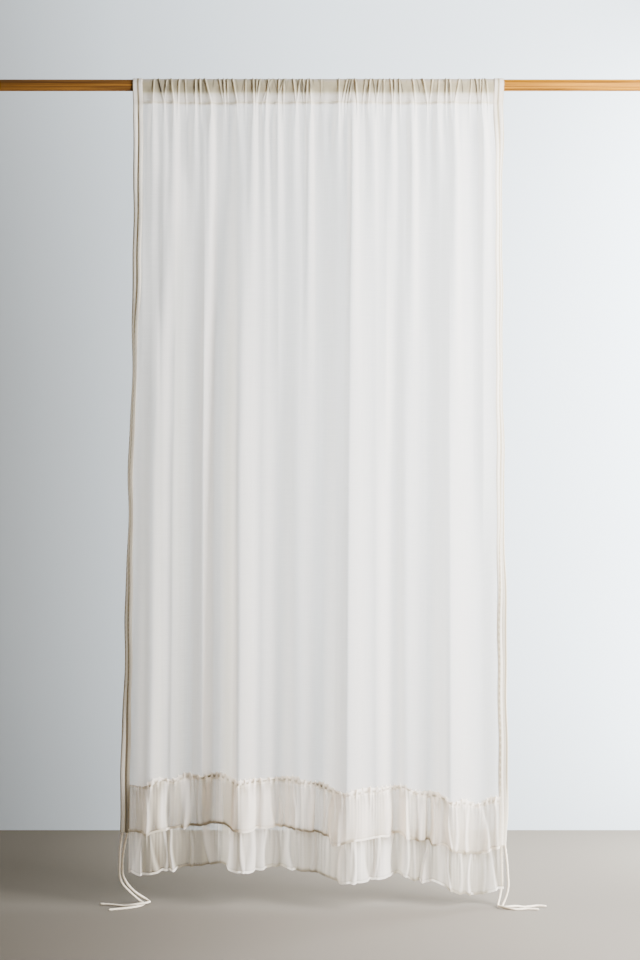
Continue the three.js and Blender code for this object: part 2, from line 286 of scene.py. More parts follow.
def cord_material():
    """Laid cotton: no gloss, and lint that breaks up the tone."""
    material, tree, output = new_material("cotton cord")
    cloth = add_node(tree, "ShaderNodeUVMap", {"uv_map": "flat"}).outputs["UV"]
    lint_scale = pattern_size(LINT)[0]
    lint = add_node(tree, "ShaderNodeTexNoise", Vector=cloth, Scale=lint_scale, Detail=3.0).outputs["Fac"]
    tone = add_node(tree, "ShaderNodeMix", {"data_type": "RGBA"}, Factor=lint,
                    _6=colour("#d6c2a4"), _7=colour("#f8e9d4")).outputs[2]
    bump = add_node(tree, "ShaderNodeBump", Strength=0.4, Distance=0.0005, Height=lint).outputs[0]
    surface = add_node(tree, "ShaderNodeBsdfPrincipled", Base_Color=tone, Roughness=0.9,
                       Specular_IOR_Level=0.2, Normal=bump)
    tree.links.new(surface.outputs[0], output.inputs["Surface"])
    return material


cotton_cord = cord_material()
ties = [make_cord(name, route, cotton_cord) for name, route in CORD_ROUTES.items()]
print("cords:", {tie.name: len(tie.data.polygons) for tie in ties}, "faces")

# %% [markdown]
# ## Cotton voile
#
# Voile is a plain weave of fine, hard-twisted cotton with gaps between its threads, so about a third of
# the light passes straight through one layer. The rest is scattered, some back to the viewer and some on
# through the cloth. Real gaps are far too fine to model or to draw, so the shader mixes in that share of
# clear. Seen at a slant the gaps close up, as if more layers lay there, which draws a pale line along
# every fold. Slubs, the thick places in the yarn, run as faint streaks along the warp and the weft, drawn
# wider than real ones so that they show. Little light reaches the tucks between gathers and the turned
# hems, so their shade is painted into the colour: a kept value picks one of four tones, from a painted
# highlight on a lit ridge through open cloth to the painted tan shade of a deep tuck.

# %% The voile's weave
SLUB = {"thick": 2.381, "warp_run": 142.86, "weft_run": 71.43}  # millimetres
SLUB_SPREAD = (0.7, 1.3)  # the sum of both noises, from thin places to thick ones
LEAST_FACING = 0.2


def slub_streaks(tree):
    """Thick and thin places along the warp and along the weft, added up."""
    cloth = add_node(tree, "ShaderNodeUVMap", {"uv_map": "flat"}).outputs["UV"]
    noises = []
    for size in ((SLUB["thick"], SLUB["warp_run"]), (SLUB["weft_run"], SLUB["thick"])):
        threads = add_node(tree, "ShaderNodeMapping", Vector=cloth, Scale=(*pattern_size(*size), 1.0))
        noise = add_node(tree, "ShaderNodeTexNoise", Vector=threads.outputs[0], Scale=1.0, Detail=3.0)
        noises.append(noise.outputs["Fac"])
    return add_node(tree, "ShaderNodeMath", {"operation": "ADD"}, _0=noises[0], _1=noises[1]).outputs[0]


def clear_share(tree, slubs, cover, slub):
    """The share of light that goes straight through, by layers and by the slant of the cloth."""
    thin, thick = SLUB_SPREAD
    gaps = add_node(tree, "ShaderNodeMapRange", Value=slubs, From_Min=thin, From_Max=thick,
                    To_Min=1 - cover + slub, To_Max=1 - cover - slub).outputs[0]
    slant = add_node(tree, "ShaderNodeLayerWeight", Blend=0.5).outputs["Facing"]
    square_on = add_node(tree, "ShaderNodeMath", {"operation": "SUBTRACT"}, _0=1.0, _1=slant).outputs[0]
    facing = add_node(tree, "ShaderNodeMath", {"operation": "MAXIMUM"}, _0=square_on, _1=LEAST_FACING)
    layers = add_node(tree, "ShaderNodeAttribute", {"attribute_name": "layers"}).outputs["Fac"]
    crossed = add_node(tree, "ShaderNodeMath", {"operation": "DIVIDE"}, _0=layers, _1=facing.outputs[0])
    seen = add_node(tree, "ShaderNodeMath", {"operation": "POWER"}, _0=gaps, _1=crossed.outputs[0])
    return seen.outputs[0]


print("slubs", SLUB["thick"], "mm thick give a pattern scale of", round(pattern_size(SLUB["thick"])[0]))

# %% The voile's tones
PAINTED_SHADE_SPAN, OPEN_STOP, SHALLOW_STOP = (-0.15, 1.0), 0.13, 0.48


def painted_shade_tone(tree, tones):
    """Painted highlight on a ridge, open cloth, and painted shade in a shallow and a deep tuck."""
    painted_shade = add_node(tree, "ShaderNodeAttribute", {"attribute_name": "painted_shade"}).outputs["Fac"]
    depth = add_node(tree, "ShaderNodeMapRange", Value=painted_shade, From_Min=PAINTED_SHADE_SPAN[0], From_Max=PAINTED_SHADE_SPAN[1])
    tone = add_node(tree, "ShaderNodeValToRGB", Fac=depth.outputs[0])
    stops = tone.color_ramp.elements
    stops[0].color, stops[1].color = colour(tones[0]), colour(tones[3])
    for at, code in ((OPEN_STOP, tones[1]), (SHALLOW_STOP, tones[2])):
        stops.new(at).color = colour(code)
    return tone.outputs[0]


def voile_material(name, tones, cover, through, slub):
    """Woven cotton: matt, with a faint sheen, part clear and part lit from behind."""
    material, tree, output = new_material(name)
    slubs = slub_streaks(tree)
    seen = clear_share(tree, slubs, cover, slub)
    bump = add_node(tree, "ShaderNodeBump", Strength=0.1, Distance=0.0003, Height=slubs).outputs[0]
    tone = painted_shade_tone(tree, tones)
    front = add_node(tree, "ShaderNodeBsdfPrincipled", Base_Color=tone, Roughness=0.85,
                     Specular_IOR_Level=0.1, Sheen_Weight=0.1, Normal=bump)
    behind = add_node(tree, "ShaderNodeBsdfTranslucent", Color=tone, Normal=bump)
    scatter = add_node(tree, "ShaderNodeMixShader", _0=through, _1=front.outputs[0], _2=behind.outputs[0])
    clear = add_node(tree, "ShaderNodeBsdfTransparent")
    mixed = add_node(tree, "ShaderNodeMixShader", _0=seen, _1=scatter.outputs[0], _2=clear.outputs[0])
    tree.links.new(mixed.outputs[0], output.inputs["Surface"])
    return material


# %% [markdown]
# The panel and the ruffles are one cloth, but the ruffles' crowded folds throw warm light on each other,
# which is painted into them as slightly warmer tones. A casing is two layers thick and lets less light
# through.

# %% Three finishes of voile
# Each set of tones runs from a painted highlight on a ridge, through open cloth, to painted shade in a
# shallow tuck and in a deep one.
VOILE_TONES = ("#f8f0e6", "#ebe0d4", "#c7bb99", "#605a50")  # ridge, open cloth, shallow tuck, deep tuck
RUFFLE_TONES = ("#fff4e4", "#f1e5d7", "#c8bba4", "#574730")
CASING_TONES = ("#fdf7ec", "#f6ecdc", "#c0b094", "#463a1e")
voile = voile_material("voile", VOILE_TONES, cover=0.62, through=0.46, slub=0.03)
ruffle_voile = voile_material("ruffle voile", RUFFLE_TONES, cover=0.62, through=0.46, slub=0.03)
casing_cloth = voile_material("casing cloth", CASING_TONES, cover=0.82, through=0.4, slub=0.05)
print("materials:", voile.name, ruffle_voile.name, casing_cloth.name)

# %% [markdown]
# ## The folds
#
# The same tables as in the solids: broad folds that deepen towards the bottom, and soft folds that leave
# the heading and fade into the broad ones. Each row is one fold, given one by one, because no noise would
# put the folds where they hang. Depth is behind the rod's axis, so a crest, which faces the viewer, is
# below zero.

# %% Broad and soft folds
BROAD_FOLDS = np.array([  # at, depth
    (-428, -10), (-381, -40), (-340, 30), (-288, 55), (-232, 80), (-177, -25),
    (-133, 12), (-92, 35), (-44, -5), (1, 18), (60, -50), (134, -10),
    (182, 38), (212, 12), (258, 38), (309, -15), (386, 18), (428, 0),
], float)
SOFT_FOLDS = np.array([  # at, height, run
    (-405, 10, 620), (-352, 12, 700), (-305, 9, 480), (-263, 13, 1500), (-232, 8, 330), (-196, 7, 300),
    (-160, 10, 560), (-131, 9, 640), (-100, 9, 520), (-60, 8, 480), (-22, 12, 1200), (14, 8, 330),
    (48, 9, 380), (84, 12, 900), (128, 9, 560), (178, 10, 620), (228, 12, 900), (262, 7, 420),
    (292, 9, 360), (330, 12, 1000), (402, 10, 640),
], float)
STITCH_Z, PANEL_HALF, GAP = -42, 428, 0.3


def ease(t):
    return (1 - np.cos(np.pi * np.clip(t, 0, 1))) / 2


def bell(distance, half_width):
    return ease(1 - np.abs(distance) / half_width)


def eased(rows, place_at, column=1):
    """A table read between its rows, easing from each row to the next."""
    after = np.clip(np.searchsorted(rows[:, 0], place_at), 1, len(rows) - 1)
    a, b = rows[after - 1], rows[after]
    share = ease((place_at - a[..., 0]) / (b[..., 0] - a[..., 0]))
    return a[..., column] + (b[..., column] - a[..., column]) * share


print("folds:", len(BROAD_FOLDS), "broad,", len(SOFT_FOLDS), "soft")

# %% [markdown]
# The heading's gathers are narrow pleats, pressed together by hand along the rod, so they stand in uneven
# clusters with smooth stretches between them. Most of them lean: each row gives where a pleat crosses the
# top of the rod, where it ends at the stitch line, and its height. Below them come the side edges, the
# creases seen in the hanging cloth and the length of the drop, which wanders.

# %% Gathers, edges, creases and drop
PLEATS = np.array([  # top, foot, height
    (-399, -404, 6.0), (-391, -376, 4.5), (-367, -377, 5.0), (-360, -353, 6.0), (-338, -343, 5.0),
    (-325, -323, 3.0), (-299, -301, 5.5), (-289, -288, 6.0), (-279, -262, 6.5), (-245, -232, 5.0),
    (-231, -229, 4.5), (-222, -222, 5.0), (-211, -199, 5.0), (-177, -179, 4.0), (-160, -158, 5.5),
    (-150, -152, 5.0), (-140, -151, 3.5), (-120, -128, 5.5), (-109, -138, 3.5), (-96, -99, 4.5),
    (-84, -86, 5.0), (-78, -104, 3.0), (-63, -55, 6.0), (-44, -53, 3.5), (-39, -36, 5.5), (-26, -31, 4.0),
    (-22, -18, 6.0), (6, 7, 1.5), (50, 49, 5.5), (72, 58, 4.0), (78, 66, 4.0), (84, 73, 4.0),
    (88, 95, 6.5), (116, 108, 4.0), (127, 121, 5.0), (132, 143, 5.5), (150, 141, 4.0), (159, 159, 5.0),
    (174, 181, 5.0), (185, 185, 5.5), (196, 199, 4.0), (228, 237, 5.5), (252, 266, 6.5), (279, 272, 4.0),
    (294, 290, 3.0), (311, 311, 5.0), (319, 323, 5.0), (345, 333, 4.0), (374, 369, 4.0), (382, 392, 4.5),
    (394, 393, 5.0), (401, 399, 4.0), (406, 415, 5.5),
], float)
PLEAT_HALF = 3.3
SIDES = {  # share of the drop, where the casing meets the panel, degrees that the casing turns back
    -1: np.array([(0, -428, 0), (0.09, -428, 8), (0.22, -431.5, 24), (0.37, -444, 56), (0.53, -452.5, 57),
                  (0.72, -453.5, 36), (0.934, -458.5, 5), (1, -459.5, 0)], float),
    1: np.array([(0, 427, 0), (0.09, 433, 40), (0.22, 433, 43), (0.37, 434, 40), (0.53, 435, 31),
                 (0.72, 436.5, 5), (0.934, 440, 8), (1, 442, 35)], float),
}
# x at the heading and at the hem, height, left and right half width, from and to in the drop
CREASES = np.array([
    (-378, -384, 7, 30, 36, 0, 0.7), (-345, -366, 24, 74, 44, 0.08, 1.2),
    (-277, -288, 30, 44, 22, 0, 1.1), (-386, -384, -13, 46, 34, 0.15, 1.3),
    (-200, -196, 11, 62, 28, 0.12, 1.2), (60, 60, -8, 40, 36, 0.3, 1.3), (2, 4, 8, 34, 30, 0.3, 1.3),
    (256, 260, 8, 32, 30, 0.3, 1.3), (-424, -440, 9, 10, 26, 0.02, 0.42),
    (-386, -386, -7, 18, 16, 0.02, 0.5), (-98, -96, 13, 20, 44, 0, 0.5), (48, -132, 10, 14, 20, 0, 0.22),
    (82, 68, 18, 24, 60, 0, 1.2), (137, 150, 9, 12, 18, 0, 0.22), (168, 162, 12, 18, 26, 0, 0.55),
    (284, 290, 10, 12, 18, 0, 0.2), (318, 322, 11, 16, 50, 0, 1.2), (348, 352, 10, 16, 24, 0, 0.28),
    (401, 404, 13, 22, 22, 0, 0.65),
], float)
DROPS = np.array([  # at, drop
    (-428, 1777), (-60, 1773), (-28, 1779), (35, 1793), (175, 1793), (196, 1789),
    (230, 1805), (285, 1808), (340, 1831), (376, 1839), (428, 1820),
], float)
print("gathers:", len(PLEATS), "drop from", DROPS[:, 1].min(), "to", DROPS[:, 1].max(), "mm")


# %% Depth of the folds and creases
def inner_edge(at, fall):
    left, right = (np.abs(eased(SIDES[side], np.asarray(fall, float))) for side in (-1, 1))
    return np.where(np.asarray(at) < 0, left, right) - GAP


def across(at, fall):
    """Where a place across the heading comes to as the shade flares on its way down."""
    return at * inner_edge(at, fall) / PANEL_HALF


def drop_at(at):
    return eased(DROPS, at)


def soft_depth(at, fall):
    """The soft folds, which widen as they fade."""
    drop = drop_at(at)
    depth = np.full(np.broadcast(at, fall).shape, 4.0)
    for place_at, height, run in SOFT_FOLDS:
        share = np.clip(fall * drop / run, 0, 1)
        depth = depth - height * bell(at - place_at, 15 + 12 * share) * ease(1 - share)
    return depth


def crease_depth(at, fall):
    """The listed creases: each is steeper on one side and fades in and out down the drop."""
    x = across(at, fall)
    depth = np.zeros(np.broadcast(at, fall).shape)
    for top, foot, height, left, right, start, end in CREASES:
        away = x - top - (foot - top) * fall
        slope = (np.sqrt(away**2 + 9) - 3) / np.where(away < 0, left, right)
        run = ease((fall - start) / 0.04) * ease((end - fall) / 0.2) * (0.5 + 0.5 * fall)
        depth = depth - height * np.clip(1 - slope, 0, 1) ** 1.5 * run
    return depth


def pleat_height(at, foot, half=PLEAT_HALF):
    """Height of the gathers at a place, foot being 0 over the rod and 1 at the stitch line."""
    height = np.zeros(np.broadcast(at, foot).shape)
    for k, (top, low, tall) in enumerate(PLEATS):
        tall = tall * (0.6 + 0.4 * abs(math.sin(1.7 * k)))
        height = np.maximum(height, tall * bell(at - top - (low - top) * foot, half))
    return height


def fold_depth(at, fall):
    growth = 0.12 + 0.88 * np.maximum(fall, 0) ** 0.8
    pleat = pleat_height(at, 1.0, PLEAT_HALF + 7 * ease(fall / 0.04)) * 0.6 * ease(1 - fall / 0.06)
    softness = 0.6 + 0.4 * ease(fall / 0.04)
    broad = eased(BROAD_FOLDS, at) * growth
    return broad + soft_depth(at, fall) * softness + crease_depth(at, fall) - pleat


across_hem = np.array([-400.0, 0.0, 400.0])
print("depth at the hem:", np.round(fold_depth(across_hem, np.ones(3)), 1), "mm at", across_hem)

# %% [markdown]
# Each gather hides a tuck at its left, on the side away from the light, and painted shade darkens it there;
# painted dark strokes stand in for the small wrinkles that lie between the gathers. They differ in darkness
# and in length, as gathers made by hand do, so sines of the gather's number, which never repeat in step,
# vary them.

# %% Shade in the heading's tucks
def pleat_shade(at, foot):
    shade = np.zeros(np.broadcast(at, foot).shape)
    for k, (top, low, _) in enumerate(PLEATS):
        beside = top + (low - top) * foot - 0.9 * PLEAT_HALF
        end = 0.62 + 0.3 * math.sin(1.3 * k)
        dark = (0.5 + 0.4 * math.sin(2.1 * k)) * ease((end - foot) / 0.2)
        shade = np.maximum(shade, dark * bell(at - beside, 2.3))
        for turn in (1, 4):
            painted_wrinkle = top + 9 * math.sin(5 * k + turn) + 16 * math.sin(3 * k + turn) * foot
            end = 0.62 + 0.25 * math.sin(4.1 * k + turn)
            dark = (0.6 + 0.35 * math.sin(3.3 * k + turn)) * ease((end - foot) / 0.25)
            shade = np.maximum(shade, dark * bell(at - painted_wrinkle, 2.5))
    return shade


along_rod = np.linspace(-PANEL_HALF, PANEL_HALF, 857)
print("deepest tuck over the rod:", pleat_shade(along_rod, 0.0).max().round(2))

# %% [markdown]
# ## The panel
#
# One width of voile. Its top edge is turned over the rod to the back and stitched down just below it,
# which makes the rod pocket. A plane that starts below the rod would be simpler, but the pocket has to go
# round it. So the rows of the grid follow the cloth: up the back from the turned edge, over the rod, down
# the front to the stitch line and on down the drop.

# %% The rod pocket's rows
ROD_RADIUS = 14


def pocket_rows(radius):
    """One row for each line of the pocket: base y and z, outward y and z, share of fold, share of foot."""
    first = math.radians(70)
    tangent = np.array([-radius * math.sin(first), -radius * math.cos(first)])
    rows = [(0.9, z, 1, 0, 1, 1) for z in (-47.0, -44.5)]
    for t in np.linspace(0, 1, 8)[:-1]:
        base = np.array([0.9, STITCH_Z]) * (1 - t) + np.array([-tangent[0], tangent[1]]) * t
        rows.append((*base, 0.3 + t * 0.64, -t * 0.34, 1 - t, 0.45 + 0.55 * (1 - t)))
    for turn in np.linspace(2 * math.pi - first, first, 15):
        out = (-math.sin(turn), -math.cos(turn))
        foot = 0.45 * abs(turn - math.pi) / (math.pi - first)
        rows.append((radius * out[0], radius * out[1], *out, 0, foot))
    for t in np.linspace(0, 1, 10)[1:]:
        base = tangent * (1 - t) + np.array([0.0, STITCH_Z]) * t
        rows.append((*base, -0.6 - (1 - t) * 0.34, -(1 - t) * 0.34, t, 0.45 + 0.55 * t))
    return np.array(rows)


def cloth_length(pocket, falls, drop):
    """How far each row of the grid lies from the turned edge, along the cloth."""
    steps = np.hypot(*np.diff(pocket[:, :2], axis=0).T)
    return np.concatenate([[0], np.cumsum(steps), steps.sum() + falls * drop])


POCKET = pocket_rows(ROD_RADIUS + 1.2)
FALLS = np.linspace(0, 1, 61)[1:] ** 1.5
print("panel rows:", len(POCKET), "round the rod,", len(FALLS), "down the drop")

# %% [markdown]
# Over the rod the cloth is doubled and the wood shows through it, and a painted tan shade over the rod
# adds to that look. In a few strips at the left painted shade darkens the cloth and the wall behind shows
# through more; the outermost strip instead has a painted highlight and lets less through. Each strip
# fades in down the drop.

# %% Hang the panel
PANEL_COLUMNS = 900
PANEL_FLAT = {"width": 1280, "drop": 1790}
# The added tuck of each strip is painted shade, below zero a painted highlight; the added layers make the
# cloth less see-through.
STRIPS = np.array([  # x, half width, from in the drop, added tuck, added layers
    (-424, 20, 0.3, -0.1, 0.5), (-388, 28, 0.3, 0.1, -0.4), (-336, 36, 0.08, 0.14, -0.4),
    (-222, 28, 0.2, 0.16, -0.4), (-176, 20, 0.4, 0.04, -0.2),
], float)
POCKET_SHADE, STITCH_SHADE, STITCH_LAYERS = 0.08, 0.3, 2


def panel_tone(at, fall, foot, hangs, stitched):
    # Over the rod, painted tan shade stands in for the wood seen through the cloth; each gather adds
    # painted shade at its tuck, and the stitch line is a line of painted shade.
    over_rod = ease((0.73 - foot) / 0.1)
    pocket_painted_shade = POCKET_SHADE + over_rod * (0.38 * ease(foot / 0.5) + 0.03)
    pocket_painted_shade = pocket_painted_shade + pleat_shade(at, foot) * (0.12 + 0.46 * over_rod)
    painted_shade = np.where(hangs, 0, pocket_painted_shade)
    layers = np.where(stitched, STITCH_LAYERS, np.where(hangs, 1, 1 + 0.7 * over_rod))
    for x, half, start, shade, cover in STRIPS:
        strip_share = bell(across(at, fall) - x, half) * ease((fall - start) / 0.2)
        painted_shade, layers = painted_shade + shade * strip_share, layers + cover * strip_share
    return layers, np.where(stitched, STITCH_SHADE, painted_shade)


def hang_panel(column, row):
    at = PANEL_HALF * (2 * column / PANEL_COLUMNS - 1)
    hangs = row >= len(POCKET)
    y0, z0, out_y, out_z, folds, foot = POCKET[np.minimum(row, len(POCKET) - 1)].T
    pleat = pleat_height(at, foot) * (0.45 + 0.55 * ease((foot - 0.25) / 0.6))
    still = fold_depth(at, np.zeros_like(at)) + 0.6 * pleat_height(at, 1.0)
    fall = np.where(hangs, FALLS[np.clip(row - len(POCKET), 0, len(FALLS) - 1)], 0)
    y = np.where(hangs, fold_depth(at, fall), y0 + out_y * pleat + still * folds)
    z = np.where(hangs, STITCH_Z - fall * drop_at(at), z0 + out_z * pleat)
    down = cloth_length(POCKET, FALLS, PANEL_FLAT["drop"])
    cloth = np.stack([PANEL_FLAT["width"] * column / PANEL_COLUMNS, -down[row]], axis=1)
    layers, painted_shade = panel_tone(at, fall, foot, hangs, row == len(POCKET) - 1)
    return np.stack([across(at, fall), y, z], axis=1), cloth, layers, painted_shade


panel_rows = len(POCKET) + len(FALLS) - 1
panel = shape_sheet("panel_cloth", PANEL_COLUMNS, panel_rows, hang_panel, voile)
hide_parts("panel")
print("panel:", len(panel.data.polygons), "faces")

# %% [markdown]
# ## The ruffles
#
# Two strips, cut half as long again as the panel is wide, gathered and sewn across it. Every gather
# starts as a small pleat at the seam. Some die out within a few centimetres, others run on and open into
# a fold that stands out at the hem, and the cloth between the folds lies back in a tuck. Each row is one
# fold: its left and right edges at the seam and at the hem, how far it stands out, and which edge is the
# sharp one (1 right, -1 left). The other edge runs out softly into the cloth beside it.

# %% The ruffles' folds
UPPER_FOLDS = [  # seam left, seam right, hem left, hem right, lift, sharp
    (-464, -448, -462, -445, 5, 0), (-432, -424, -422, -414, 6, 0), (-410, -402, -417, -409, 12, 0),
    (-430, -406, -424, -406, 16, 0), (-387, -365, -386, -365, 12, 1), (-350, -305, -337, -320, 20, 0),
    (-299, -292, -296, -287, 4, 0), (-279, -270, -282, -272, 4, 0), (-262, -235, -262, -232, 8, 1),
    (-206, -194, -214, -199, 8, 0), (-182, -152, -189, -152, 18, 1), (-152, -116, -152, -102, 10, 1),
    (-105, -97, -94, -84, 9, 1), (-79, -70, -79, -63, 5, 0), (-68, -59, -62, -52, 9, 1),
    (-45, -38, -45, -35, 4, 0), (-23, -5, -30, -9, 12, 1), (10, 21, 10, 17, 5, 0),
    (32, 74, 24, 74, 42, -1), (89, 95, 85, 92, 4, 0), (98, 146, 80, 152, 8, 0),
    (157, 179, 160, 180, 15, 1), (200, 221, 201, 226, 20, 1), (238, 268, 244, 264, 20, 1),
    (274, 304, 270, 309, 34, -1), (307, 317, 317, 330, 10, 1), (328, 338, 331, 339, 9, 1),
    (362, 373, 356, 367, 9, 0), (392, 404, 405, 422, 12, 1), (428, 438, 431, 440, 6, 0),
]
LOWER_FOLDS = [
    (-465, -453, -468, -458, 5, 0), (-431, -423, -449, -424, 16, 1), (-411, -406, -390, -382, 6, 1),
    (-384, -372, -376, -366, 8, 0), (-364, -356, -357, -345, 18, 1), (-321, -315, -316, -311, 6, 0),
    (-293, -265, -273, -235, 8, -1), (-250, -244, -251, -245, 5, 0), (-217, -204, -228, -199, 14, -1),
    (-192, -185, -185, -175, 9, 0), (-170, -153, -179, -152, 20, 1), (-151, -121, -152, -128, 14, 1),
    (-109, -101, -111, -100, 4, 0), (-84, -67, -77, -57, 10, 1), (-16, 4, -20, -12, 5, 0),
    (11, 18, 9, 18, 3, 0), (54, 67, 45, 67, 12, -1), (80, 96, 78, 95, 12, 0), (94, 114, 90, 126, 16, 1),
    (138, 153, 126, 141, 7, 0), (160, 189, 133, 183, 14, 1), (206, 225, 204, 219, 12, 1),
    (233, 240, 231, 238, 4, 0), (270, 279, 247, 282, 16, -1), (282, 306, 282, 314, 6, 0),
    (311, 318, 317, 326, 10, 1), (340, 348, 340, 348, 4, 0), (368, 376, 367, 376, 12, 1),
    (400, 409, 400, 409, 5, 0), (415, 427, 407, 439, 13, 1),
]
print("ruffle folds:", len(UPPER_FOLDS), "upper,", len(LOWER_FOLDS), "lower")

# %% [markdown]
# The sizes of the two strips: how far the seam lies above the panel's bottom edge, the width of the frill
# above it, the whole depth, how far the hem stands off the panel, how much paler the left end is, and how
# far the strip reaches past the panel's side edges. The upper seam was eased up in places. A turned hem
# is dark where it lies back in the shade and pale where a fold brings it forward, which one table for
# each hem gives.

# %% The ruffles' sizes, seam and hems
UPPER = {"rise": 127, "seam": 14, "deep": 124, "stand": 7.5, "pale": 0.5, "over": (0, 0),
         "flat": (1.36, 0.146)}
LOWER = {"rise": 8, "seam": 0, "deep": 105, "stand": 3.0, "pale": 0.85, "over": (2, 10),
         "flat": (1.36, 0.127)}
GATHER = {"first": -455, "pitch": 11.5, "height": 3.2, "half": 5.2, "hem": 5.5}
SEAM_LIFT = np.array([  # at, how far the seam is eased up
    (-428, 1), (-385, 0), (-362, 8), (-330, 3), (-282, 9), (-255, 5), (-235, 1), (-180, 0), (-40, 3),
    (100, -2), (182, -1), (215, 4), (260, -4), (310, -2), (345, 6), (400, 6), (428, -1),
], float)
UPPER_HEM = np.array([  # x, how deep in shade the turned hem is
    (-465, 0.45), (-387, 0.45), (-367, 0.2), (-360, 0.7), (-335, 0.5), (-328, 0.2), (-313, 1), (-231, 1),
    (-211, 0.6), (-192, 0.3), (-155, 0.1), (-106, 0.3), (-82, 0.55), (-52, 0.9), (-13, 0.9), (23, 0.6),
    (33, 0.05), (48, 0.1), (57, 0.6), (82, 0.55), (91, 0.05), (174, 0.05), (189, 0.35), (218, 0.2),
    (228, 0.55), (282, 0.65), (292, 0.05), (311, 0.05), (321, 0.5), (394, 0.55), (404, 0.05), (440, 0.1),
], float)
LOWER_HEM = np.array([  # x, how deep in shade the turned hem is
    (-465, 0.4), (-453, 0.1), (-418, 0.1), (-406, 0.35), (-370, 0.3), (-362, 0.05), (-350, 0.05),
    (-343, 0.7), (-231, 0.65), (-221, 0.05), (-133, 0.05), (-123, 0.45), (-79, 0.4), (-72, 0.05),
    (-60, 0.1), (-50, 0.9), (4, 0.8), (43, 0.6), (52, 0.25), (82, 0.2), (91, 0.1), (179, 0.1),
    (189, 0.45), (204, 0.4), (211, 0.1), (218, 0.1), (226, 0.6), (245, 0.55), (253, 0), (301, 0),
    (311, 0.5), (370, 0.6), (375, 0.2), (382, 0.6), (409, 0.5), (419, 0.05), (440, 0.05),
], float)
print("hem tables:", len(UPPER_HEM), "upper,", len(LOWER_HEM), "lower")


# %% Folds and gathers of a ruffle
def ridges(folds, x, down):
    """How far the folds stand out at x, down being 1 at the hem, and the share of the cloth on a fold."""
    out, share = np.zeros(len(x)), np.zeros(len(x))
    for k, (seam_left, seam_right, hem_left, hem_right, lift, sharp) in enumerate(folds):
        bow = 5.0 * np.sin(math.pi * down ** 1.3)
        left = seam_left + (hem_left - seam_left) * down + bow * math.sin(2.7 * k)
        right = seam_right + (hem_right - seam_right) * down + bow * math.sin(2.7 * k + 0.7)
        right = np.maximum(right, left + 5)
        soft = 10 * down * (1 if sharp else 0.5)
        left, right = left - soft * (sharp >= 0), right + soft * (sharp <= 0)
        way = (x - left) / (right - left)
        edge = np.minimum(0.5, 7 / (right - left))
        rise, fade = (edge, 0.75) if sharp < 0 else (0.7, edge) if sharp else (0.5, 0.5)
        face = ease(way / rise) * ease((1 - way) / fade)
        lean = 0.7 if sharp < 0 else 0.4
        out = np.maximum(out, lift * down ** 0.6 * face * (1 - lean * np.clip(way, 0, 1)))
        share = np.maximum(share, face * min(1, lift / 11))
    return out, share


def gathers(at, below, phase):
    """The small pleats at the seam. Each has its own place, height and run, and they close up above it."""
    height = np.zeros(len(at))
    for k in range(-1, 80):
        middle = GATHER["first"] + GATHER["pitch"] * k + 3.4 * math.sin(2.3 * k + phase)
        run = 58 + 36 * math.sin(3.7 * k + phase)
        tall = GATHER["height"] * (1 + 0.5 * math.sin(1.9 * k + phase))
        fade = np.where(below > 0, ease(1 - below / run), 1)
        height = height + tall * bell(at - middle, GATHER["half"]) * fade
    return height


def ripples(at, down, phase):
    """The slack of the cloth towards the hem."""
    ripple = 2.0 * down * np.sin(at / 2.9 + 3 * np.sin(at / 41) + 2.5 * down + phase)
    return ripple * (0.55 + 0.45 * np.sin(at / 27 + 1.9 * np.sin(at / 61)))


def fine_pleats(at, below, down, phase):
    """The finest pleats, below the seam, from -1 to 1."""
    fine = np.sin(at * 2 * math.pi / 9.1 + 3.1 * np.sin(at / 19) + 1.6 * np.sin(at / 7.3) + phase)
    return fine * (0.5 + 0.5 * np.sin(at / 14.3 + 1.7 * np.sin(at / 33))) * (1 - 0.8 * down) * (below > 0)


def ruffle_rows(size):
    above = np.linspace(-size["seam"], 0, 6)[:-1] if size["seam"] else []
    deep = size["deep"] - size["seam"]
    hem = GATHER["hem"]
    body = np.linspace(0, 1, 30) ** 1.15 * (deep - hem)
    return np.concatenate([above, body, [deep - hem + 0.6, deep - 0.5 * hem, deep - 0.7, deep]])


print("ruffle rows:", len(ruffle_rows(UPPER)), "upper,", len(ruffle_rows(LOWER)), "lower")

# %% [markdown]
# Painted tone does what folds finer than the grid would do. Painted shade lies on the cloth between the
# folds, most of all at the left, away from the light, and painted highlights lie on the folds. Above the
# seam, the frill's crinkles have a cream painted highlight at their edge, with dots of painted brown shade
# along the stitching.

# %% Shade in a ruffle
FRILL = {"wave": 12.8, "sway": 3.6, "rise": 2.6, "puff": 2.0}
# These places only darken and widen the painted shade dots along the frill's stitching.
DARK_DOT_PLACES = ((-248, 52), (-4, 34))  # where the frill is drawn in most: place and half width
PALE_END = (-432, 62)
DARK_PLACES = ((-366, 15, 0.3), (-336, 14, 0.15))  # place, half width and more shade
SEAM_BAND, SHADE_RUN, HEM_RUN = 9, 38, 9  # below the seam and above the hem


def hem_tone(painted_shade, dark, below, deep):
    """The turned hem, the line where it starts, and the shade that gathers above its dark places."""
    start = deep - GATHER["hem"]
    painted_shade = painted_shade + 0.2 * (np.abs(below - deep + GATHER["hem"]) < 0.3)
    painted_shade = painted_shade + 0.24 * ease((dark - 0.7) / 0.3) * ease(1 - (start - below) / HEM_RUN)
    return np.where(below > start + 0.3, 0.82 * ease(dark / 0.8) - 0.15 * ease(1 - 2.5 * dark), painted_shade)


def frill_tone(at, frill, wave, patchy):
    """A cream painted highlight at the frill's edge, with dots of painted brown shade along the stitching.
    """
    darker_dots = sum(bell(at - middle, half) for middle, half in DARK_DOT_PLACES)
    dots = ease(0.25 - wave) * ease(1.05 + 0.3 * darker_dots - 1.3 * frill)
    cream = 0.2 * ease(-(at + 150) / 150) - 0.16
    return (0.45 + 0.5 * patchy + 0.2 * darker_dots) * dots + cream * (1 - dots)


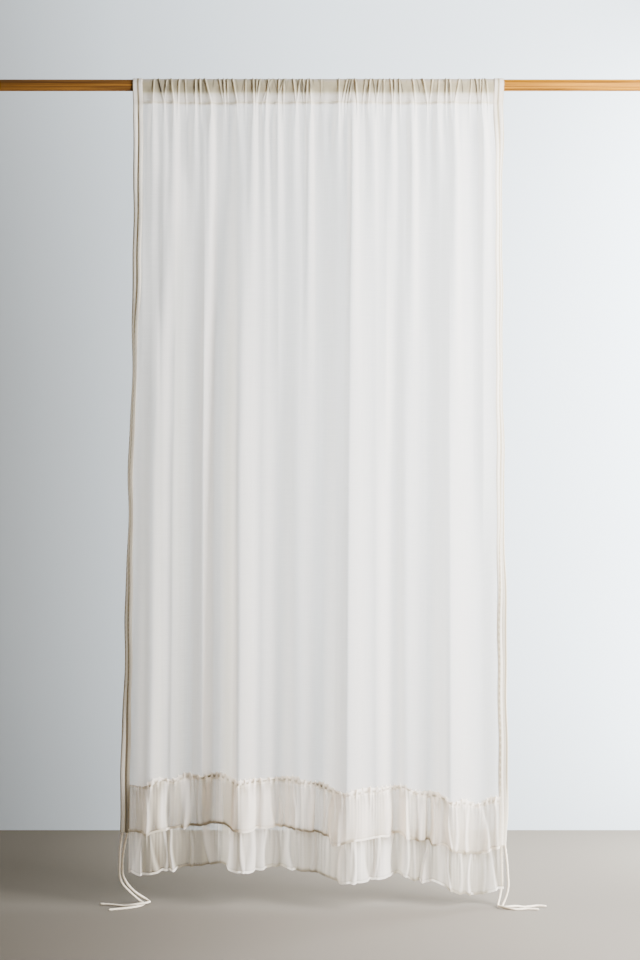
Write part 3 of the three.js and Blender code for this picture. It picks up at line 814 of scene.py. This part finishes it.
def ruffle_tone(at, below, down, frill, wave, share, pleat, fine, dark, pale, deep, phase):
    """How many layers lie together, and how deep in shade the cloth is, from the frill down to the hem."""
    patchy = 0.55 + 0.45 * np.sin(at / 23 + 1.7 * np.sin(at / 41) + phase)
    near_seam = ease(1 - below / SHADE_RUN) * ease(1 - pleat / 2.6)
    shady = 0.74 - 0.48 * ease((at + 380) / 220) + 0.12 * ease((at - 150) / 90)
    for middle, half, more in DARK_PLACES:
        shady = shady + more * bell(at - middle, half)
    ends = pale * bell(at - PALE_END[0], PALE_END[1])
    # Painted highlights lie on the folds, weaker at the left, away from the light, on fine pleats and on
    # the gathers just below the seam; painted shade lies between the folds and near the seam.
    lit = share * (0.38 + 0.62 * ease((at + 320) / 240))
    painted_shade = (shady - ends) * (1 - share) * (0.5 + 0.5 * down)
    painted_shade = hem_tone(painted_shade - 0.12 * lit - 0.1 * fine + 0.3 * near_seam * patchy, dark, below, deep)
    painted_shade = np.where(below < 0, frill_tone(at, frill, wave, patchy), painted_shade)
    painted_shade = np.where((below >= 0) & (below < SEAM_BAND), painted_shade - 0.2 * ease(pleat / 3.5), painted_shade)
    hem = below > deep - GATHER["hem"] + 0.3
    layers = np.where(hem, 2.5, np.where(below < 3, 3, 0.75 + 0.9 * lit + 0.5 * ends))
    return layers, painted_shade


# The places printed are where the frill's painted shade dots are darkest.
print("frill:", FRILL["wave"], "mm from crinkle to crinkle, drawn in at", [middle for middle, _ in DARK_DOT_PLACES])

# %% [markdown]
# Each ruffle hangs on the panel's own folds: a place on the strip is looked up on the panel behind it,
# and then stands off it by its gathers, its folds and the slack of the hem. A fold that stands out hangs
# a little lower, so the hem droops with it.

# %% Hang the ruffles
RUFFLE_COLUMNS = 900
STAND_OFF, HEM_DROOP = 2.6, 0.28


def make_ruffle(name, node, folds, hem_shade, size, phase):
    rows = ruffle_rows(size)
    deep = size["deep"] - size["seam"]
    left, right = -PANEL_HALF - size["over"][0], PANEL_HALF + size["over"][1]

    def hang(column, row):
        at = left + (right - left) * column / RUFFLE_COLUMNS
        below = rows[row]
        down = np.clip(below / deep, 0, 1)
        frill = np.clip(-below / max(size["seam"], 1), 0, 1)
        out, share = ridges(folds, across(at, 1.0), down)
        pleat = gathers(at, below, phase)
        fine = fine_pleats(at, below, down, phase)
        turn = at * 2 * math.pi / FRILL["wave"] + 2.4 * np.sin(at / 31) + 1.5 * np.sin(at / 12.7)
        wave = np.sin(turn)
        uneven = 0.3 + 0.62 * ease((at + 392) / 14) + 0.28 * np.sin(at / 17 + 2 * np.sin(at / 53))
        x = across(at, 1.0) + FRILL["sway"] * frill * np.cos(turn)
        z = STITCH_Z - drop_at(at) + size["rise"] - size["seam"] - below * np.where(below < 0, uneven, 1)
        z = z + FRILL["rise"] * frill * wave - HEM_DROOP * out * down
        if size["seam"]:
            z = z + eased(SEAM_LIFT, at) * (1 - down) ** 1.5
        fall = np.clip((STITCH_Z - z) / drop_at(at), 0, 1)
        behind = np.clip(x * PANEL_HALF / inner_edge(at, fall), left, right)
        off = STAND_OFF + size["stand"] * down ** 0.7 + out + ripples(at, down, phase) + 0.8 * fine
        off = off + pleat * (1 + 0.5 * frill) + FRILL["puff"] * frill * (1 + wave)
        dark = eased(hem_shade, across(at, 1.0))
        layers, painted_shade = ruffle_tone(at, below, down, frill, wave, share, pleat, fine, dark,
                                   size["pale"], deep, phase)
        cloth = np.stack([size["flat"][0] / MM * column / RUFFLE_COLUMNS, -below], axis=1)
        return np.stack([x, fold_depth(behind, fall) - off, z], axis=1), cloth, layers, painted_shade

    ruffle = shape_sheet(name, RUFFLE_COLUMNS, len(rows) - 1, hang, ruffle_voile)
    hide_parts(node)
    return ruffle


ruffle_upper = make_ruffle("ruffle_upper_cloth", "ruffle_upper", UPPER_FOLDS, UPPER_HEM, UPPER, 0.4)
ruffle_lower = make_ruffle("ruffle_lower_cloth", "ruffle_lower", LOWER_FOLDS, LOWER_HEM, LOWER, 2.9)
print("ruffles:", len(ruffle_upper.data.polygons), len(ruffle_lower.data.polygons), "faces")

# %% [markdown]
# ## The casings
#
# Down each side runs a strip that is folded in two and stitched along its edges and its middle, which
# leaves two channels for the cords. It is turned over the rod with the heading. Below, it twists: on the
# left its outer edge turns back half way down, and on the right near the top. A squashed tube would be
# quicker, but it has no folded edge and no seams. So a strip of grid is folded flat round itself, pressed
# along its three seams and puckered by the stitching.

# %% The casings' sizes
CASING = {"width": 24, "flat": 2.2, "channel": 5.6, "seam": 1.2, "ring": 36, "row": 6.0}
CHANNEL, CHANNEL_HALF = 12, 5.2
CASING_DROP = {-1: 1779, 1: 1814}
# Painted shade on each casing: at the top, below zero a painted highlight, growing towards the foot, and
# along the seams.
CASING_SHADE = {-1: (-0.1, 0.16, 0.95), 1: (0.08, 0.04, 0.5)}  # top, more at the foot, seams


def off_centre(inset):
    """How far a place, inset from the casing's inner edge, lies from the middle of its channel."""
    return inset % CHANNEL - CHANNEL / 2


def channel_thickness(inset):
    """Two round channels between three pressed seams."""
    round_part = np.sqrt(np.clip(1 - (off_centre(inset) / CHANNEL_HALF) ** 2, 0, 1))
    return CASING["seam"] + (CASING["channel"] - CASING["seam"]) * round_part


print("casings:", CASING["width"], "mm wide, drops", CASING_DROP)

# %% [markdown]
# The seams and edges are thin lines of painted shade. On the left, the top has a painted highlight and
# painted shade darkens the inner channel towards the foot. On the right, the channel's seam line draws in
# below the middle and shows its stitches, and the foot is pale, with less painted shade.

# %% Shade in a casing
# where each sets in, and over how much of the drop
DRAWN_IN, DARK_FOOT, PALE_FOOT, MOUTH = (0.45, 0.3), (0.72, 0.15), (0.9, 0.05), (0.93, 0.04)


def sets_in(fall, zone):
    return ease((fall - zone[0]) / zone[1])


def casing_tone(side, fall, inset, turn, z_hang):
    """How many layers lie together, and the lines of shade along the seams and edges."""
    low = sets_in(fall, DRAWN_IN) * (side > 0)
    dark = sets_in(fall, DARK_FOOT) * (side < 0)
    pale = 1 - 0.85 * sets_in(fall, PALE_FOOT) * (side > 0)
    outer = CASING["width"] - 7 * np.sin(turn) - 3.5 * low
    lines = np.maximum(0.9 * bell(inset - outer, 3.4 + 1.2 * low), 0.35 * bell(inset, 2.4))
    stitches = 1 - low * (0.3 + 0.3 * np.sin(z_hang / 2.9 + inset / 3))
    middle = bell(inset - 11 + 6.5 * low + 1.8 * dark, 4 + 1.2 * dark)
    lines = np.maximum(lines, middle * stitches)
    top, foot, seams = CASING_SHADE[side]
    seam_shade = seams * (1 + 0.25 * low - 0.25 * dark) * lines * pale
    channel_shade = dark * (0.24 + 0.3 * sets_in(fall, MOUTH)) * ease((13 - inset) / 4)
    layers = np.where(np.abs(off_centre(inset)) > CHANNEL_HALF, 3, 1)
    return layers, top + foot * fall ** 1.5 + np.maximum(seam_shade, channel_shade)


print("casing seams draw in from", DRAWN_IN[0], "of the drop")


# %% Hang the casings
def make_casing(name, node, side):
    pocket = pocket_rows(ROD_RADIUS + 1.8)
    drop = CASING_DROP[side]
    falls = np.linspace(0, 1, round(drop / CASING["row"]) + 1)[1:]
    half_ring = CASING["ring"] // 2
    down = cloth_length(pocket, falls, drop)

    def hang(column, row):
        ring = column % CASING["ring"]
        front = ring <= half_ring
        inset = CASING["width"] * np.where(front, ring, CASING["ring"] - ring) / half_ring
        hangs = row >= len(pocket)
        y0, z0, out_y, out_z, folds, _ = pocket[np.minimum(row, len(pocket) - 1)].T
        fall = np.where(hangs, falls[np.clip(row - len(pocket), 0, len(falls) - 1)], 0)
        z_hang = STITCH_Z - fall * drop
        round_share = ease(fall * drop / 40)
        pucker = 1 + 0.16 * np.sin(z_hang * 2 * math.pi / 11 + inset * 0.35 + 2 * np.sin(z_hang / 47))
        thick = channel_thickness(inset) * pucker * round_share + CASING["flat"] * (1 - round_share)
        thick = np.where((inset == 0) | (inset == CASING["width"]), 0, thick)
        reach = np.where(front, 0.5, -0.5) * thick
        turn = np.radians(eased(SIDES[side], fall, 2) + 5 * np.sin(z_hang / 63) * round_share)
        inner = eased(SIDES[side], fall) + 0.7 * np.sin(z_hang / 29) * round_share
        depth = fold_depth(np.full(len(column), side * PANEL_HALF), fall)
        x = inner + side * (inset * np.cos(turn) + reach * np.sin(turn))
        y_hang = depth + inset * np.sin(turn) - reach * np.cos(turn)
        y = np.where(hangs, y_hang, y0 + out_y * reach + depth * folds)
        z = np.where(hangs, z_hang, z0 + out_z * reach)
        cloth = np.stack([column * 2 * CASING["width"] / CASING["ring"], -down[row]], axis=1)
        layers, painted_shade = casing_tone(side, fall, inset, turn, z_hang)
        return np.stack([x, y, z], axis=1), cloth, layers, painted_shade

    rows = len(pocket) + len(falls) - 1
    casing = shape_sheet(name, CASING["ring"], rows, hang, casing_cloth)
    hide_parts(node)
    return casing


casing_left = make_casing("casing_left_cloth", "casing_left", -1)
casing_right = make_casing("casing_right_cloth", "casing_right", 1)
print("casings:", len(casing_left.data.polygons), len(casing_right.data.polygons), "faces")

# %% [markdown]
# ## The rod
#
# A length of turned softwood, 28 mm thick, with its sawn ends eased and a thin coat of honey-coloured
# wax. The wax is worn, so it has only a weak, broad gloss. The grain runs along the rod as streaks about
# 5 mm wide and half a metre long, so the noise behind the colour is stretched along X. Over it lie fibres
# that are drawn a millimetre wide, coarser than real ones, so that they show. The wood is duller at the
# left, a painted shade, and more golden at the right, a painted light.

# %% Waxed softwood
GRAIN, FIBRE = (454.5, 4.762, 4.762), (71.43, 1.111, 1.111)  # millimetres along the rod and across it
# The left tones are painted shade and the right ones painted light: the rod darkens towards the left, away
# from the light.
DARK_GRAIN, LIGHT_GRAIN = ("#4f331a", "#5a3600"), ("#8b5d25", "#9c6600")  # left and right
WORN_WAX, CLEAR_WAX, WAX_SHARE = "#b89b7a", "#ffffff", 0.35


def wood_material():
    """Turned wood under worn wax: long streaks, fine fibres and a weak, broad gloss."""
    material, tree, output = new_material("waxed softwood")
    spot = add_node(tree, "ShaderNodeTexCoord").outputs["Object"]
    along = add_node(tree, "ShaderNodeMapping", Vector=spot, Scale=pattern_size(*GRAIN)).outputs[0]
    fine = add_node(tree, "ShaderNodeMapping", Vector=spot, Scale=pattern_size(*FIBRE)).outputs[0]
    grain = add_node(tree, "ShaderNodeTexNoise", Vector=along, Scale=1.0, Detail=4.0, Distortion=0.3)
    fibre = add_node(tree, "ShaderNodeTexNoise", Vector=fine, Scale=1.0, Detail=2.0).outputs["Fac"]
    streak = add_node(tree, "ShaderNodeMapRange", Value=grain.outputs["Fac"], From_Min=0.38, From_Max=0.62)
    place_along = add_node(tree, "ShaderNodeSeparateXYZ", Vector=spot).outputs["X"]
    to_right = add_node(tree, "ShaderNodeMapRange", Value=place_along, From_Min=-0.5, From_Max=0.5)
    tones = []
    for left, right in (DARK_GRAIN, LIGHT_GRAIN):
        mix = add_node(tree, "ShaderNodeMix", {"data_type": "RGBA"}, Factor=to_right.outputs[0],
                       _6=colour(left), _7=colour(right))
        tones.append(mix.outputs[2])
    tone = add_node(tree, "ShaderNodeMix", {"data_type": "RGBA"}, Factor=streak.outputs[0],
                    _6=tones[0], _7=tones[1])
    thin = add_node(tree, "ShaderNodeMapRange", Value=fibre, From_Min=0.3, From_Max=0.7).outputs[0]
    wax = add_node(tree, "ShaderNodeMix", {"data_type": "RGBA"}, Factor=thin,
                   _6=colour(WORN_WAX), _7=colour(CLEAR_WAX))
    waxed = add_node(tree, "ShaderNodeMix", {"data_type": "RGBA", "blend_type": "MULTIPLY"},
                     Factor=WAX_SHARE, _6=tone.outputs[2], _7=wax.outputs[2]).outputs[2]
    bump = add_node(tree, "ShaderNodeBump", Strength=0.15, Distance=0.0003, Height=fibre).outputs[0]
    surface = add_node(tree, "ShaderNodeBsdfPrincipled", Base_Color=waxed, Roughness=0.55,
                       Specular_IOR_Level=0.08, Normal=bump)
    tree.links.new(surface.outputs[0], output.inputs["Surface"])
    return material


waxed_softwood = wood_material()
print("material:", waxed_softwood.name)

# %% [markdown]
# The rod itself could be a circle drawn out along X. A capped cylinder is the same shape in one step, and
# a bevel on the rims of its two ends eases them.

# %% Make the rod
ROD_LENGTH, ROD_SEGMENTS, EASED_END = 1.8, 64, 0.0015


def make_rod():
    bm = bmesh.new()
    radius = ROD_RADIUS * MM
    lying = Matrix.Rotation(math.pi / 2, 4, "Y")
    bmesh.ops.create_cone(bm, cap_ends=True, segments=ROD_SEGMENTS, radius1=radius, radius2=radius,
                          depth=ROD_LENGTH, matrix=lying)
    ends = [f for f in bm.faces if abs(f.normal.x) > 0.9]
    rims = [e for f in ends for e in f.edges]
    bmesh.ops.bevel(bm, geom=rims, offset=EASED_END, affect="EDGES", segments=3, profile=0.5, material=-1)
    mesh = bpy.data.meshes.new("rod_wood")
    bm.to_mesh(mesh)
    bm.free()
    rod = place("rod_wood", mesh, waxed_softwood)
    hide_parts("rod")
    return rod


rod = make_rod()
print("rod:", len(rod.data.polygons), "faces")

# %% [markdown]
# ## The stage
#
# A matt floor and a pale wall, 0.86 m behind the shade, each with painted shade that makes it a little
# darker at the left, away from the light. The wall is seen from the room only, so that it doesn't stand in
# the way of a look from behind.

# %% Floor and wall
FLOOR_Z, WALL_Y, STAGE_HALF = -2.0, 0.86, 8


def matt_material(name, left, right, span, one_sided=False):
    """Matt paint or a dull floor: one tone at the left, easing to another over the span."""
    material, tree, output = new_material(name)
    spot = add_node(tree, "ShaderNodeTexCoord").outputs["Object"]
    place_across = add_node(tree, "ShaderNodeSeparateXYZ", Vector=spot).outputs["X"]
    share = add_node(tree, "ShaderNodeMapRange", Value=place_across, From_Min=span[0], From_Max=span[1])
    tone = add_node(tree, "ShaderNodeMix", {"data_type": "RGBA"}, Factor=share.outputs[0],
                    _6=colour(left), _7=colour(right))
    surface = add_node(tree, "ShaderNodeBsdfDiffuse", Color=tone.outputs[2])
    if one_sided:
        back = add_node(tree, "ShaderNodeNewGeometry").outputs["Backfacing"]
        clear = add_node(tree, "ShaderNodeBsdfTransparent")
        surface = add_node(tree, "ShaderNodeMixShader", _0=back, _1=surface.outputs[0], _2=clear.outputs[0])
    tree.links.new(surface.outputs[0], output.inputs["Surface"])
    return material


def make_plane(name, matrix, material):
    bm = bmesh.new()
    bmesh.ops.create_grid(bm, x_segments=1, y_segments=1, size=STAGE_HALF, matrix=matrix)
    mesh = bpy.data.meshes.new(name)
    bm.to_mesh(mesh)
    bm.free()
    mesh.materials.append(material)
    plane = bpy.data.objects.new(name, mesh)
    bpy.context.scene.collection.objects.link(plane)


# Both finishes darken towards the left as painted shade, away from the light.
floor_finish = matt_material("floor", "#5f584e", "#787065", (-0.8, 0.0))
make_plane("floor", Matrix.Translation((0, 0, FLOOR_Z)), floor_finish)
upright = Matrix.Translation((0, WALL_Y, 0)) @ Matrix.Rotation(math.pi / 2, 4, "X")
wall_finish = matt_material("wall", "#a2a4a3", "#b3b8b9", (-1.0, -0.6), one_sided=True)
make_plane("wall", upright, wall_finish)
print("floor at", FLOOR_Z, "m, wall at", WALL_Y, "m")

# %% [markdown]
# One large soft light comes from the right, like daylight. Three washes light the wall behind the shade
# from its side, its top and low down, which is what makes the cloth glow. One strong light would do that
# too, but the wall would fade too fast away from it. The room's own light and two ceiling lights fill the
# rest, also for a look from behind.

# %% Lights
def area_light(name, at, towards, size, power, hex_code):
    data = bpy.data.lights.new(name, "AREA")
    data.shape, data.size, data.size_y = "RECTANGLE", size[0], size[1]
    data.energy, data.color = power, colour(hex_code)[:3]
    light = bpy.data.objects.new(name, data)
    light.location = at
    light.visible_camera = False
    light.rotation_euler = (Vector(towards) - Vector(at)).to_track_quat("-Z", "Y").to_euler()
    bpy.context.scene.collection.objects.link(light)


DAYLIGHT, WASH, WASH_TOP, LAMPLIGHT, SKY = "#f2f7ff", "#ecf6ff", "#eef7ff", "#fff6ea", "#eef2f6"
LIGHTS = [  # name, place, aim, width and height, watts, colour
    ("daylight", (1.40, -0.70, -0.6), (0.15, 0.6, -0.8), (0.9, 2.6), 300, DAYLIGHT),
    ("wash", (1.25, 0.5, -0.98), (0.3, 0.86, -1.08), (0.4, 2.6), 78, WASH),
    ("wash top", (-0.1, 0.3, 0.75), (-0.3, 0.86, 0.4), (2.2, 0.2), 14, WASH_TOP),
    ("wash low", (1.2, 0.45, -1.7), (0.5, 0.86, -1.75), (0.4, 0.4), 5, WASH),
    ("room", (2.6, -3.0, 0.2), (0, 0, -1.0), (2.4, 2.4), 25, LAMPLIGHT),
    ("ceiling front", (2.1, -3.0, 2.4), (2.1, -3.0, -2.0), (4.0, 2.6), 80, LAMPLIGHT),
    ("ceiling back", (0.8, 3.4, 2.4), (0.8, 3.4, -2.0), (4.0, 2.6), 80, LAMPLIGHT),
]
for light in LIGHTS:
    area_light(*light)
world = bpy.data.worlds.new("world")
world.use_nodes = True
world.node_tree.nodes["Background"].inputs["Color"].default_value = colour(SKY)
world.node_tree.nodes["Background"].inputs["Strength"].default_value = 0.15
bpy.context.scene.world = world
print("lights:", len(LIGHTS))
